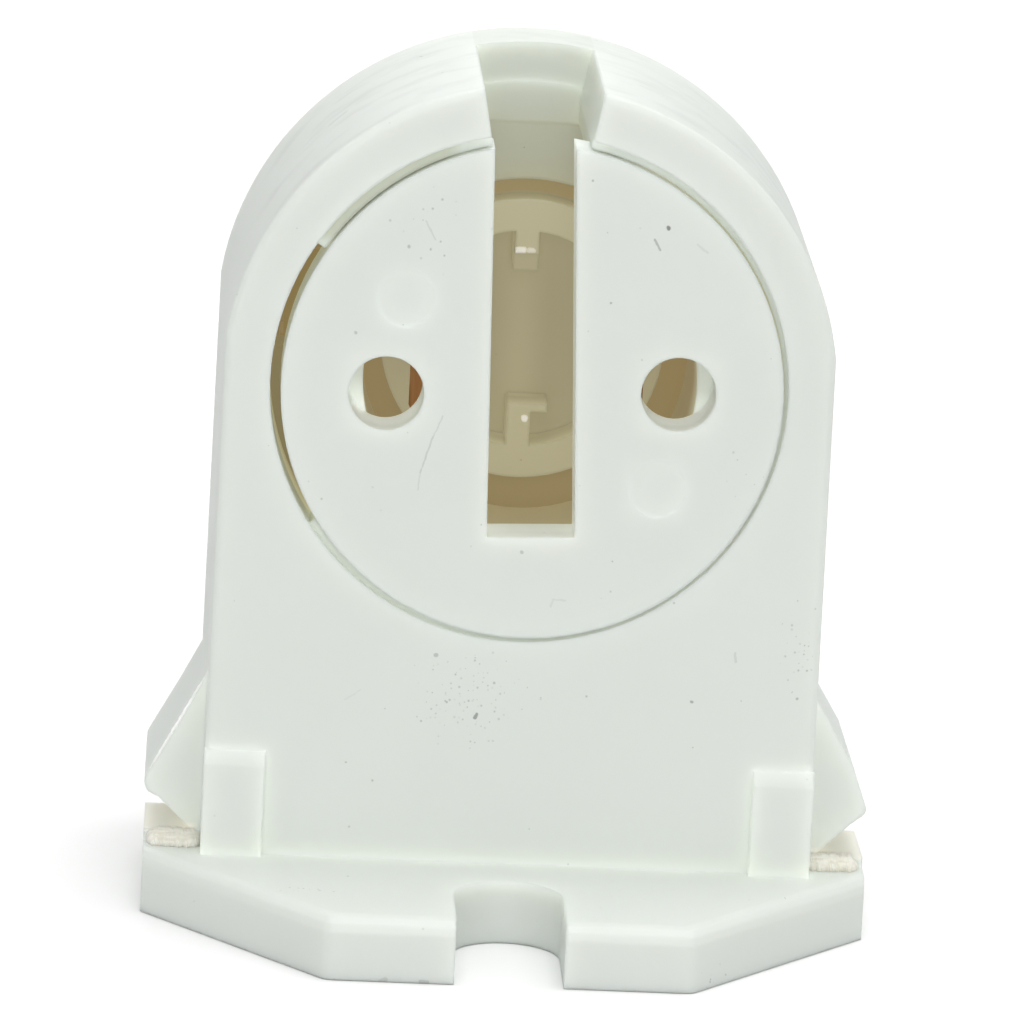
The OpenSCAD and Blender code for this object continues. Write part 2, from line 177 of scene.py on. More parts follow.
@dataclass(frozen=True)
class MouldedPlastic:
    """White polycarbonate, injection moulded.

    It gives the eye a pale, faintly green white with a soft, broad sheen. The walls let light through,
    so corners stay soft and pale. The inside is painted a warm tan that darkens with depth: painted
    shade.
    """

    name: str
    outer: str = "E3E8E2"
    # Painted shade: the inside's tan, paler near the front and darker deeper in.
    shallow_shade: str = "CBC9AE"
    deep: str = "A79C78"
    # Depth (mm, along y) at which the painted tan shade starts, and at which it is full.
    tan_from: float = 2.2
    tan_to: float = 6.0
    roughness: float = 0.40
    # Painted light: the share of emission that stands in for the light inside that has come through the
    # walls.
    painted_glow: float = 0.3
    # Share of the light that spreads under the skin.
    through: float = 0.9
    marks: tuple[Mark, ...] = ()
    # Marks in a pale tone: real polish such as ejector marks, and painted highlights.
    polish_and_glint_marks: tuple[Mark, ...] = ()
    patches: tuple[Patch, ...] = ()
    # Sizes of the skin's patterns (mm): dirt cells, spark grain, waves, cloudy flow, ragged outlines.
    cell: float = 0.2
    grain: float = 0.25
    wave: float = 5.0
    flow: float = 9.0
    ragged: float = 0.3
    # Radius that the edges seem rounded by (mm).
    edge_round: float = 0.2
    # Share of the dirt cells that are filled outside the patches.
    stray: float = 0.002
    murk: str = "B9BFB2"
    scratch: str = "4A4842"
    dirt: str = "55534C"
    # Pale tone of real polish and of painted highlights.
    polish_and_glint_tone: str = "FDFDF8"

    def from_axis(self, tree: Tree, at: Socket) -> Socket:
        """Distance from the rotor's axis: the length of the way to the axis, with its y left out."""
        add = partial(add_node, tree)
        off = add("VectorMath", (at, (AXIS_X, 0.0, AXIS_Z)), operation="SUBTRACT")
        flat = add("VectorMath", (off, (1.0, 0.0, 1.0)), operation="MULTIPLY")
        return add("VectorMath", (flat,), out=1, operation="LENGTH")

    def inside(self, tree: Tree, at: Socket, xyz: Any) -> Socket:
        """Share of a point that counts as inside the moulding: all of it behind a set depth.

        Args:
            tree: The node tree.
            at: The point's place (mm).
            xyz: Its three coordinates (mm).

        Returns:
            The output that holds the share.
        """
        return add_node(tree, "MapRange", (xyz[1], self.tan_from, self.tan_from + 0.4, 0.0, 1.0),
                        interpolation_type="SMOOTHSTEP")

    def seated(self, tree: Tree, xyz: Any) -> Socket:
        """Share of a point that lies up on the left, where the disc leans on its seat with no gap.

        Args:
            tree: The node tree.
            xyz: The point's three coordinates (mm).

        Returns:
            The output that holds the share.
        """
        left = add_node(tree, "MapRange", (xyz[0], SEATED_X - 0.6, SEATED_X, 1.0, 0.0))
        high = add_node(tree, "MapRange", (xyz[2], SEATED_Z, SEATED_Z + 0.4, 0.0, 1.0))
        return joined(tree, "MULTIPLY", left, high)

    def outside_tone(self, tree: Tree, at: Socket, xyz: Any) -> Any:
        """The outside's colour, for a moulding that has one all over."""
        return linear(self.outer)

    def painted_inside_shade(self, tree: Tree, at: Socket, xyz: Any) -> Socket:
        """Painted shade: the inside's tan, which deepens with the depth.

        Args:
            tree: The node tree.
            at: The point's place (mm).
            xyz: Its three coordinates (mm).

        Returns:
            The output that holds the colour.
        """
        depth = add_node(tree, "MapRange", (xyz[1], self.tan_from, self.tan_to, 0.0, 1.0),
                         interpolation_type="SMOOTHSTEP")
        return mixed(tree, depth, linear(self.shallow_shade), linear(self.deep))

    def lift(self, tree: Tree, at: Socket, xyz: Any) -> Any:
        """Share of painted light by emission that a thin outer wall gets, for a moulding that has none.
        """
        return 0.0

    def drawn(self, tree: Tree, at: Socket, marks: tuple[Mark, ...]) -> Any:
        """Share of a point that marks cover, from its distance to the nearest place on each mark.

        For a mark from a to b the nearest place is a + (b - a) * t, where t is the dot product of the
        point's way from a with (b - a) / |b - a|^2, held between 0 and 1.

        Args:
            tree: The node tree.
            at: The point's place (mm), shifted a little to roughen the outlines.
            marks: The marks.

        Returns:
            The output that holds the largest share, or 0 without marks.
        """
        add = partial(add_node, tree)
        total: Any = 0.0
        for mark in marks:
            start = Vector(mark.start)
            run = Vector(mark.end) - start
            near: Any = start
            if run.length > 0:
                off = add("VectorMath", (at, start), operation="SUBTRACT")
                along = add("VectorMath", (off, run / run.length_squared), out=1,
                            operation="DOT_PRODUCT")
                held = add("Clamp", (along,))
                near = add("VectorMath", {0: run, "Scale": held}, operation="SCALE")
                near = add("VectorMath", (near, start), operation="ADD")
            gap = add("VectorMath", (at, near), out=1, operation="DISTANCE")
            half = mark.width / 2
            share = add("MapRange", (gap, half * 0.6, half * 1.2, mark.strength, 0.0),
                        interpolation_type="SMOOTHSTEP")
            total = joined(tree, "MAXIMUM", total, share)
        return total

    def specks(self, tree: Tree, at: Socket, xyz: Any) -> Socket:
        """Share of a point that fine dirt covers: cells of 0.2 mm, more of them filled within a patch.

        The cells lie on the sheet (x + 0.37 y, z + 0.61 y), on which no face of the moulding is a line.

        Args:
            tree: The node tree.
            at: The point's place (mm).
            xyz: Its three coordinates (mm).

        Returns:
            The output that holds the share.
        """
        add = partial(add_node, tree)
        across = add("Math", (xyz[1], 0.37, xyz[0]), operation="MULTIPLY_ADD")
        upward = add("Math", (xyz[1], 0.61, xyz[2]), operation="MULTIPLY_ADD")
        sheet = add("CombineXYZ", (across, upward))
        tone = add("TexVoronoi", {"Vector": sheet, "Scale": 1 / self.cell}, out=1,
                   voronoi_dimensions="2D")
        lot = add("SeparateColor", (tone,))
        share: Any = self.stray
        for patch in self.patches:
            off = add("VectorMath", (at, patch.centre), operation="SUBTRACT")
            rel = add("VectorMath", (off, tuple(1 / h for h in patch.half)), operation="MULTIPLY")
            far = add("VectorMath", (rel,), out=1, operation="LENGTH")
            full = add("MapRange", (far, 0.2, 1.0, patch.share, 0.0), interpolation_type="SMOOTHSTEP")
            share = joined(tree, "MAXIMUM", share, full)
        filled = add("Math", (lot, share), operation="LESS_THAN")
        size = add("MapRange", (lot.node.outputs[1], 0.0, 1.0, 0.16, 0.42))
        body = add("MapRange", (tone.node.outputs[0], size, 0.0, 0.0, 2.0))
        depth = add("MapRange", (lot.node.outputs[2], 0.0, 1.0, 0.04, 0.26))
        return joined(tree, "MULTIPLY", filled, body, depth)

    def relief(self, tree: Tree, place: Socket) -> Socket:
        """Normal of the moulded skin: rounded edges, spark grain and long, shallow waves.

        Args:
            tree: The node tree.
            place: The point's place (m).

        Returns:
            The output that holds the normal.
        """
        add = partial(add_node, tree)
        grain = add("TexNoise", {"Vector": place, "Scale": 1 / (self.grain * MM), "Detail": 1.0})
        wave = add("TexNoise", {"Vector": place, "Scale": 1 / (self.wave * MM), "Detail": 0.0})
        height = add("Math", (wave, 4.0, grain), operation="MULTIPLY_ADD")
        soft = add("Bevel", (self.edge_round * MM,), samples=2)
        return add("Bump", {"Height": height, "Strength": 0.5, "Distance": 0.006 * MM, "Normal": soft})

    def build(self) -> bpy.types.Material:
        """Makes the material.

        Returns:
            The material.
        """
        material, tree = new_material(self.name)
        add = partial(add_node, tree)
        place = add("TexCoord", out=3)
        at = add("VectorMath", {0: place, "Scale": 1 / MM}, operation="SCALE")
        xyz = add("SeparateXYZ", (at,)).node.outputs
        # Painted shade: behind the front, the colour turns to the painted tan of the inside.
        inside = self.inside(tree, at, xyz)
        tan = self.painted_inside_shade(tree, at, xyz)
        colour = mixed(tree, inside, self.outside_tone(tree, at, xyz), tan)
        cloud = add("TexNoise", {"Vector": place, "Scale": 1 / (self.flow * MM), "Detail": 1.0})
        murk = add("MapRange", (cloud, 0.35, 0.75, 0.0, 0.06))
        # A wobble of 0.06 mm either way roughens each mark's outline.
        swing = 0.12
        shake = add("TexNoise", {"Vector": place, "Scale": 1 / (self.ragged * MM), "Detail": 1.0},
                    out=1)
        wavy = add("VectorMath", (shake, (swing,) * 3, at), operation="MULTIPLY_ADD")
        wavy = add("VectorMath", (wavy, (swing / 2,) * 3), operation="SUBTRACT")
        # Murk, scratches and dirt, then real polish and painted highlights, go over the colour.
        for share, tone in ((murk, self.murk), (self.drawn(tree, wavy, self.marks), self.scratch),
                            (self.specks(tree, at, xyz), self.dirt),
                            (self.drawn(tree, wavy, self.polish_and_glint_marks), self.polish_and_glint_tone)):
            colour = mixed(tree, share, colour, linear(tone))
        rough = add("MapRange", (cloud, 0.3, 0.7, self.roughness - 0.05, self.roughness + 0.07))
        # Painted light: the inside and thin walls emit their own colour, for light that comes through
        # the walls.
        painted_glow_share = joined(tree, "MAXIMUM", inside, self.lift(tree, at, xyz))
        shader = add("BsdfPrincipled", {
            "Base Color": colour, "Roughness": rough, "IOR": 1.58, "Normal": self.relief(tree, place),
            "Subsurface Weight": self.through, "Subsurface Radius": (1.0, 0.95, 0.8),
            "Subsurface Scale": 1.2 * MM, "Emission Color": colour,
            "Emission Strength": joined(tree, "MULTIPLY", painted_glow_share, self.painted_glow),
        }, subsurface_method="BURLEY")
        material.cycles.emission_sampling = "NONE"
        add("OutputMaterial", (shader,))
        return material


@dataclass(frozen=True)
class HousingPlastic(MouldedPlastic):
    """The housing's plastic: painted tan shade between its walls, a pin notch and ledge darkened by
    painted shade, and a rubbed dome.
    """

    # Radius of the shell's inside and of the rotor's seat (mm).
    inner_r: float = 11.7
    seat_r: float = 11.1
    seat_from: float = 0.5
    # Depth at which the rear cover's seat ends the inside (mm).
    back: float = 15.2
    # The pin notch: half its width over the walls, its foot and its back (mm).
    notch_half: float = 3.4
    notch_foot: float = 31.1
    notch_back: float = 13.3
    # The notch's painted shade: half widths at the rotor's rim and at the mouth, with their heights,
    # and the depths between which it sets in (mm).
    rim_half: float = 2.3
    rim_z: float = 35.0
    mouth_half: float = 2.75
    mouth_z: float = 37.6
    notch_from: float = 1.0
    notch_full: float = 7.0
    # Heights at which the notch has its upper and its lower painted shade (mm).
    high_z: float = 36.5
    low_z: float = 31.5
    # The ledge's outer radius and depth (mm).
    ledge_r: float = 11.65
    ledge_depth: float = 0.6
    # The ears' inner ends and their tops' height (mm).
    ear_from: float = 13.55
    ear_top: float = 3.3
    # Radius and height beyond which the dome is rubbed (mm), with the pitch of the marks.
    dome_r: float = 12.75
    dome_from: float = 29.0
    rub_pitch: float = 2.0
    # Shares of painted light by emission, for the light from within.
    notch_painted_glow: float = 0.22
    ledge_painted_glow: float = 0.16
    ear_painted_glow: float = 0.4
    notch_high_shade: str = "D5DBD3"
    notch_low_shade: str = "D8DCC9"
    ledge_shade_tone: str = "D3D7C7"
    ear_tone: str = "E9E7DC"
    smear: str = "8E8F8D"

    def inside(self, tree: Tree, at: Socket, xyz: Any) -> Socket:
        """Share of a point that lies between the walls or on the rotor's seat, where the painted tan
        shade goes.

        Args:
            tree: The node tree.
            at: The point's place (mm).
            xyz: Its three coordinates (mm).

        Returns:
            The output that holds the share.
        """
        add = partial(add_node, tree)
        x, y, z = xyz[0], xyz[1], xyz[2]
        deep = super().inside(tree, at, xyz)
        before = add("Math", (y, self.back), operation="LESS_THAN")
        side = add("Math", (joined(tree, "SUBTRACT", x, AXIS_X),), operation="ABSOLUTE")
        high = joined(tree, "MAXIMUM", joined(tree, "SUBTRACT", z, AXIS_Z), 0.0)
        away = add("VectorMath", (add("CombineXYZ", (side, high)),), out=1, operation="LENGTH")
        shell = add("MapRange", (away, self.inner_r, self.inner_r + 0.25, 1.0, 0.0))
        above = add("MapRange", (z, 1.9, 2.1, 0.0, 1.0))
        narrow = add("Math", (side, self.notch_half), operation="LESS_THAN")
        top = add("Math", (z, self.notch_foot), operation="GREATER_THAN")
        near = add("Math", (y, self.notch_back), operation="LESS_THAN")
        kept = joined(tree, "SUBTRACT", 1.0, joined(tree, "MULTIPLY", narrow, top, near))
        within = joined(tree, "MULTIPLY", deep, before, shell, above)
        off = self.from_axis(tree, at)
        round_seat = add("MapRange", (off, self.seat_r, self.seat_r + 0.05, 1.0, 0.0))
        past = add("MapRange", (y, self.seat_from, self.seat_from + 0.3, 0.0, 0.8))
        open_gap = joined(tree, "SUBTRACT", 1.0, self.seated(tree, xyz))
        seat = joined(tree, "MULTIPLY", round_seat, past, open_gap)
        return joined(tree, "MULTIPLY", joined(tree, "MAXIMUM", within, seat), kept)

    def in_notch(self, tree: Tree, xyz: Any) -> Socket:
        """Share of a point that lies in the pin notch, full at some depth behind the front face.

        Args:
            tree: The node tree.
            xyz: The point's three coordinates (mm).

        Returns:
            The output that holds the share.
        """
        add = partial(add_node, tree)
        side = add("Math", (xyz[0],), operation="ABSOLUTE")
        wide = add("MapRange", (xyz[2], self.rim_z, self.mouth_z, self.rim_half, self.mouth_half))
        narrow = add("Math", (side, wide), operation="LESS_THAN")
        top = add("Math", (xyz[2], self.notch_foot), operation="GREATER_THAN")
        depth = add("MapRange", (xyz[1], self.notch_from, self.notch_full, 0.0, 1.0),
                    interpolation_type="SMOOTHSTEP")
        return joined(tree, "MULTIPLY", narrow, top, depth)

    def on_ear(self, tree: Tree, xyz: Any) -> Socket:
        """Share of a point that lies on the top of an ear beside the wings.

        Args:
            tree: The node tree.
            xyz: The point's three coordinates (mm).

        Returns:
            The output that holds the share.
        """
        add = partial(add_node, tree)
        side = add("Math", (xyz[0],), operation="ABSOLUTE")
        ear = add("MapRange", (side, self.ear_from, self.ear_from + 0.25, 0.0, 1.0))
        below = add("MapRange", (xyz[2], self.ear_top + 0.3, self.ear_top + 0.1, 0.0, 1.0))
        above = add("MapRange", (xyz[2], self.ear_top - 0.2, self.ear_top - 0.02, 0.0, 1.0))
        return joined(tree, "MULTIPLY", ear, below, above)

    def on_ledge(self, tree: Tree, at: Socket, xyz: Any) -> Socket:
        """Share of a point that lies on the ledge round the disc or on its low wall.

        Args:
            tree: The node tree.
            at: The point's place (mm).
            xyz: Its three coordinates (mm).

        Returns:
            The output that holds the share.
        """
        add = partial(add_node, tree)
        near = add("MapRange", (self.from_axis(tree, at), self.ledge_r, self.ledge_r + 0.15, 1.0, 0.0))
        sunk = add("MapRange", (xyz[1], 0.1, 0.3, 0.0, 1.0))
        before = add("MapRange", (xyz[1], self.ledge_depth, self.ledge_depth + 0.2, 1.0, 0.0))
        return joined(tree, "MULTIPLY", near, sunk, before)

    def lift(self, tree: Tree, at: Socket, xyz: Any) -> Socket:
        """Share of painted light by emission, for the light from within, on the ledge, the ears and the
        notch's thin walls.
        """
        notch = joined(tree, "MULTIPLY", self.in_notch(tree, xyz), self.notch_painted_glow)
        ledge = joined(tree, "MULTIPLY", self.on_ledge(tree, at, xyz), self.ledge_painted_glow)
        ear = joined(tree, "MULTIPLY", self.on_ear(tree, xyz), self.ear_painted_glow)
        return joined(tree, "MAXIMUM", notch, ledge, ear)

    def outside_tone(self, tree: Tree, at: Socket, xyz: Any) -> Socket:
        """White, a little yellow on the ears, with painted shade that darkens and yellows the notch's
        depth and the seated ledge, and rub marks along the dome.

        Args:
            tree: The node tree.
            at: The point's place (mm).
            xyz: Its three coordinates (mm).

        Returns:
            The output that holds the colour.
        """
        add = partial(add_node, tree)
        # Painted shade: the notch darkens with depth and turns yellower low down.
        low = add("MapRange", (xyz[2], self.high_z, self.low_z, 0.0, 1.0))
        notch = mixed(tree, low, linear(self.notch_high_shade), linear(self.notch_low_shade))
        colour = mixed(tree, self.in_notch(tree, xyz), linear(self.outer), notch)
        colour = mixed(tree, self.on_ear(tree, xyz), colour, linear(self.ear_tone))
        # Painted shade: the ledge beside the seated disc is darker and a little yellow.
        ledge_shade = joined(tree, "MULTIPLY", self.on_ledge(tree, at, xyz), self.seated(tree, xyz))
        colour = mixed(tree, ledge_shade, colour, linear(self.ledge_shade_tone))
        # The rub marks run round the dome, so the pattern is stretched in x and z.
        drawn_out = add("VectorMath", (at, (0.55, 1.0, 0.55)), operation="MULTIPLY")
        rub = add("TexNoise", {"Vector": drawn_out, "Scale": 1 / self.rub_pitch, "Detail": 2.0,
                                "Roughness": 0.65})
        rubbed = add("MapRange", (rub, 0.5, 0.75, 0.0, 0.15))
        skin = add("MapRange", (self.from_axis(tree, at), self.dome_r, self.dome_r + 0.25, 0.0, 1.0))
        on_dome = add("MapRange", (xyz[2], self.dome_from, self.dome_from + 2.5, 0.0, 1.0))
        behind = add("MapRange", (xyz[1], 0.2, 0.8, 0.0, 1.0))
        rubbed = joined(tree, "MULTIPLY", rubbed, skin, on_dome, behind)
        return mixed(tree, rubbed, colour, linear(self.smear))


@dataclass(frozen=True)
class RotorPlastic(MouldedPlastic):
    """The rotor's plastic: white in front, with painted tan shade at its rim and on the barrel behind
    the disc.
    """

    # The rim's radius and the depth its painted tan shade starts at (mm).
    rim_r: float = 10.8
    rim_from: float = 0.4
    # Half width of the slot, and of the stretch beside it that stays white (mm).
    slot_half: float = 3.6
    corner_half: float = 3.8
    # Height of the holes' feet (mm), and shares of painted light by emission.
    foot_z: float = 22.7
    foot_painted_glow: float = 0.8
    slot_painted_glow: float = 0.47
    hole_painted_glow: float = 0.2

    def lift(self, tree: Tree, at: Socket, xyz: Any) -> Socket:
        """Share of painted light by emission that the slot's walls get, and most of all the holes'
        feet.
        """
        add = partial(add_node, tree)
        sunk = add("MapRange", (xyz[1], 0.1, 1.4, 0.0, 1.0))
        side = add("Math", (xyz[0],), operation="ABSOLUTE")
        foot = add("MapRange", (xyz[2], self.foot_z + 1.2, self.foot_z, 0.0, self.foot_painted_glow))
        beside = add("MapRange", (side, self.slot_half, self.slot_half + 0.2, 0.0, 1.0))
        foot = joined(tree, "MULTIPLY", foot, beside)
        wall = add("MapRange", (beside, 0.0, 1.0, self.slot_painted_glow, self.hole_painted_glow))
        return joined(tree, "MULTIPLY", sunk, joined(tree, "ADD", foot, wall))

    def inside(self, tree: Tree, at: Socket, xyz: Any) -> Socket:
        """Share of a point that lies behind the disc or on its rim.

        Args:
            tree: The node tree.
            at: The point's place (mm).
            xyz: Its three coordinates (mm).

        Returns:
            The output that holds the share.
        """
        add = partial(add_node, tree)
        # Painted shade: the rim past the front turns tan, except beside the slot.
        rim = add("MapRange", (self.from_axis(tree, at), self.rim_r, self.rim_r + 0.08, 0.0, 0.7))
        past = add("MapRange", (xyz[1], self.rim_from, self.rim_from + 0.3, 0.0, 1.0))
        side = add("Math", (xyz[0],), operation="ABSOLUTE")
        clear = add("MapRange", (side, self.corner_half, self.corner_half + 1.0, 0.0, 1.0))
        open_gap = joined(tree, "SUBTRACT", 1.0, self.seated(tree, xyz))
        edge = joined(tree, "MULTIPLY", rim, past, clear, open_gap)
        return joined(tree, "MAXIMUM", super().inside(tree, at, xyz), edge)


@dataclass(frozen=True)
class CoverPlastic(MouldedPlastic):
    """The rear cover's plastic, in painted shade: its ring is paler than its floor, which is painted a
    darker brown outside the ring.
    """

    ring_r: float = 6.42
    # Painted shade: the darker brown of the floor outside the ring, where it lies deeper.
    beyond_shade: str = "B09F76"
    back: float = 15.2
    # Painted highlight: a soft, paler upright band down the hollow within the ring.
    painted_gleam: str = "D9D3B4"
    # The painted highlight's middle along x, half its width and the depth it lies behind (mm), and its
    # share.
    gleam_x: float = 0.1
    gleam_half: float = 1.5
    gleam_from: float = 13.5
    gleam_share: float = 0.24

    def inside(self, tree: Tree, at: Socket, xyz: Any) -> Socket:
        """Share of a point that lies in front of the cover's back face."""
        return add_node(tree, "MapRange", (xyz[1], self.back - 0.1, self.back, 1.0, 0.0))

    def painted_inside_shade(self, tree: Tree, at: Socket, xyz: Any) -> Socket:
        """Painted shade and highlight: tan within the ring with a soft upright painted highlight in its
        hollow, and darker brown outside the ring.

        Args:
            tree: The node tree.
            at: The point's place (mm).
            xyz: Its three coordinates (mm).

        Returns:
            The output that holds the colour.
        """
        add = partial(add_node, tree)
        tan = super().painted_inside_shade(tree, at, xyz)
        off = add("Math", (joined(tree, "SUBTRACT", xyz[0], self.gleam_x),), operation="ABSOLUTE")
        painted_gleam = add("MapRange", (off, 0.0, self.gleam_half, self.gleam_share, 0.0),
                    interpolation_type="SMOOTHSTEP")
        floor = add("MapRange", (xyz[1], self.gleam_from, self.gleam_from + 0.3, 0.0, 1.0))
        tan = mixed(tree, joined(tree, "MULTIPLY", painted_gleam, floor), tan, linear(self.painted_gleam))
        past = add("MapRange", (self.from_axis(tree, at), self.ring_r, self.ring_r + 0.1, 0.0, 1.0))
        return mixed(tree, past, tan, linear(self.beyond_shade))


@dataclass(frozen=True)
class TornPlastic:
    """The same polycarbonate where the mould tore it.

    It gives the eye a rough, fibrous cream, matt and paler than the moulded skin round it.
    """

    name: str = "polycarbonate_torn_edge"
    pale: str = "EEEBDF"
    shade: str = "DEDACB"
    fibre: float = 0.2
    # Share of painted light by emission, for the light that comes through so thin a skin.
    painted_glow: float = 0.04

    def build(self) -> bpy.types.Material:
        """Makes the material, with fibres of 0.2 mm that run along x.

        Returns:
            The material.
        """
        material, tree = new_material(self.name)
        add = partial(add_node, tree)
        place = add("TexCoord", out=3)
        drawn_out = add("Mapping", {"Vector": place, "Scale": (0.3, 1.0, 1.0)})
        fibres = add("TexNoise", {"Vector": drawn_out, "Scale": 1 / (self.fibre * MM), "Detail": 3.0})
        share = add("MapRange", (fibres, 0.35, 0.62, 0.0, 1.0))
        colour = mixed(tree, share, linear(self.shade), linear(self.pale))
        bump = add("Bump", {"Height": fibres, "Strength": 0.4, "Distance": 0.06 * MM})
        shader = add("BsdfPrincipled", {
            "Base Color": colour, "Roughness": 0.75, "IOR": 1.58, "Normal": bump,
            "Subsurface Weight": 0.5, "Subsurface Radius": (1.0, 0.9, 0.7),
            "Subsurface Scale": 0.8 * MM, "Emission Color": colour, "Emission Strength": self.painted_glow})
        material.cycles.emission_sampling = "NONE"
        add("OutputMaterial", (shader,))
        return material


@dataclass(frozen=True)
class PhosphorBronze:
    """Phosphor bronze strip, cold rolled and stamped.

    It gives the eye a warm copper brown with fine rolling lines where the pins rub it bright, and a
    dull olive brown away from the pins, with painted light by emission all over.
    """

    name: str = "phosphor_bronze_rolled_strip"
    bright: str = "D9A578"
    dull: str = "8E5C36"
    outward_tone: str = "A08D60"
    roughness: float = 0.36
    # Pitch of the rolling lines and size of the dull blooms (mm).
    line: float = 0.08
    bloom: float = 1.5
    # Share of bare metal in the olive brown away from the axis, and painted light by emission for the
    # light that the walls round it throw on the bright metal and on the olive brown.
    bare: float = 0.1
    painted_glow: float = 0.08
    outward_painted_glow: float = 0.45
    # Distance from the rotor's axis at which the olive brown starts and is full (mm).
    rubbed_to: float = 7.2
    outward_from: float = 8.4

    def build(self) -> bpy.types.Material:
        """Makes the material.

        Returns:
            The material.
        """
        material, tree = new_material(self.name)
        add = partial(add_node, tree)
        place = add("TexCoord", out=3)
        # The rolling lines run up the strip, so the pattern is stretched along z.
        drawn_out = add("Mapping", {"Vector": place, "Scale": (1.0, 1.0, 0.04)})
        lines = add("TexNoise", {"Vector": drawn_out, "Scale": 1 / (self.line * MM)})
        bloom = add("TexNoise", {"Vector": place, "Scale": 1 / (self.bloom * MM), "Detail": 4.0})
        share = add("MapRange", (bloom, 0.4, 0.75, 0.0, 1.0))
        colour = mixed(tree, share, linear(self.bright), linear(self.dull))
        x = add("SeparateXYZ", (place,))
        side = add("Math", (x,), operation="ABSOLUTE")
        outward = add("MapRange", (side, self.rubbed_to * MM, self.outward_from * MM, 0.0, 1.0))
        colour = mixed(tree, outward, colour, linear(self.outward_tone))
        shine = add("MapRange", (outward, 0.0, 1.0, 1.0, self.bare))
        painted_glow = add("MapRange", (outward, 0.0, 1.0, self.painted_glow, self.outward_painted_glow))
        bump = add("Bump", {"Height": lines, "Strength": 0.15, "Distance": 0.02 * MM})
        rough = add("MapRange", (bloom, 0.3, 0.7, self.roughness, self.roughness + 0.2))
        shader = add("BsdfPrincipled", {
            "Base Color": colour, "Metallic": shine, "Roughness": rough, "Normal": bump,
            "Emission Color": colour, "Emission Strength": painted_glow})
        material.cycles.emission_sampling = "NONE"
        add("OutputMaterial", (shader,))
        return material


def closed_skin(name: str, rings: np.ndarray) -> bpy.types.Object:
    """Makes a closed mesh from rings of points and shuts each end with one pole.

    Ring i joins ring i + 1 by quads (i, j), (i + 1, j), (i + 1, j + 1), (i, j + 1), with j taken round
    the ring. A pole is the mean of its ring. The enclosed volume is a sixth of the sum of the triple
    products of each triangle's corners, and where it is negative the faces are turned.

    Args:
        name: The piece's name.
        rings: Places of the points (mm), as rings by points by 3.

    Returns:
        The piece, linked to the scene.
    """
    count, round_count = rings.shape[:2]
    poles = np.stack([rings[0].mean(0), rings[-1].mean(0)])
    points = np.concatenate([rings.reshape(-1, 3), poles]) * MM
    index = np.arange(count * round_count).reshape(count, round_count)
    beside = np.roll(index, -1, axis=1)
    quads = np.stack([index[:-1], index[1:], beside[1:], beside[:-1]], axis=-1).reshape(-1, 4)
    halves = np.concatenate([quads[:, [0, 1, 2]], quads[:, [0, 2, 3]]])
    first = np.stack([np.full(round_count, count * round_count), index[0], beside[0]], axis=-1)
    last = np.stack([np.full(round_count, count * round_count + 1), beside[-1], index[-1]], axis=-1)
    faces = np.concatenate([halves, first, last])
    corners = points[faces]
    volume = np.einsum("ij,ij->i", corners[:, 0], np.cross(corners[:, 1], corners[:, 2])).sum() / 6
    if volume < 0:
        faces = faces[:, ::-1]
    mesh = bpy.data.meshes.new(name)
    mesh.from_pydata(points.tolist(), [], faces.tolist())
    mesh.polygons.foreach_set("use_smooth", np.ones(len(faces), dtype=bool))
    mesh.update()
    piece = bpy.data.objects.new(name, mesh)
    bpy.context.scene.collection.objects.link(piece)
    return piece


def lumps(seed: int, along: np.ndarray, turn: np.ndarray, pitch: float) -> np.ndarray:
    """Uneven lumps between -1 and 1: the mean of eight sine waves with seeded directions and phases.

    Args:
        seed: Seed of the random draws.
        along: Distance along the piece (mm).
        turn: Angle round it.
        pitch: Length of the longest lumps (mm).

    Returns:
        The lumps' height at each point.
    """
    draw = np.random.default_rng(seed)
    waves = 8
    rate = 2 * math.pi / pitch * np.linspace(1.0, 4.5, waves)
    whole = draw.integers(-3, 4, waves)
    phase = draw.uniform(0, 2 * math.pi, waves)
    angle = rate * along[..., None] + whole * turn[..., None] + phase
    return np.sin(angle).mean(-1) * 2


@dataclass
class FlashBead:
    """A thin bead of flash that the mould's parting line left along an edge (sizes in mm)."""

    name: str
    path: tuple[Point, ...]
    radius: float
    seed: int
    steps: int = 90
    sides: int = 10
    # Length of the longest lumps (mm), and the share of the radius that they rise or fall by.
    pitch: float = 1.1
    uneven: float = 0.45

    def build(self, material: bpy.types.Material) -> bpy.types.Object:
        """Carries a circle of uneven radius along the path, c(s) + r(s, t) * (cos t * u + sin t * v).

        The path c is straight between its points, u and v stand across its first run, and r falls to
        nothing at both ends as the root of a sine.

        Args:
            material: The bead's material.

        Returns:
            The piece.
        """
        points = np.array(self.path)
        reach = np.concatenate([[0.0], np.cumsum(np.linalg.norm(np.diff(points, axis=0), axis=1))])
        s = np.linspace(0, reach[-1], self.steps)
        centre = np.stack([np.interp(s, reach, points[:, k]) for k in range(3)], axis=-1)
        ahead = points[-1] - points[0]
        u = np.cross(ahead, (0.0, 1.0, 0.0))
        u = u / np.linalg.norm(u)
        v = np.cross(ahead, u)
        v = v / np.linalg.norm(v)
        t = np.linspace(0, 2 * math.pi, self.sides, endpoint=False)
        along, turn = np.meshgrid(s, t, indexing="ij")
        taper = np.sqrt(np.sin(math.pi * np.clip(along / reach[-1], 0.004, 0.996)))
        radius = self.radius * taper * (1 + self.uneven * lumps(self.seed, along, turn, self.pitch))
        circle = np.cos(turn)[..., None] * u + np.sin(turn)[..., None] * v
        piece = closed_skin(self.name, centre[:, None, :] + radius[..., None] * circle)
        piece.data.materials.append(material)
        return piece


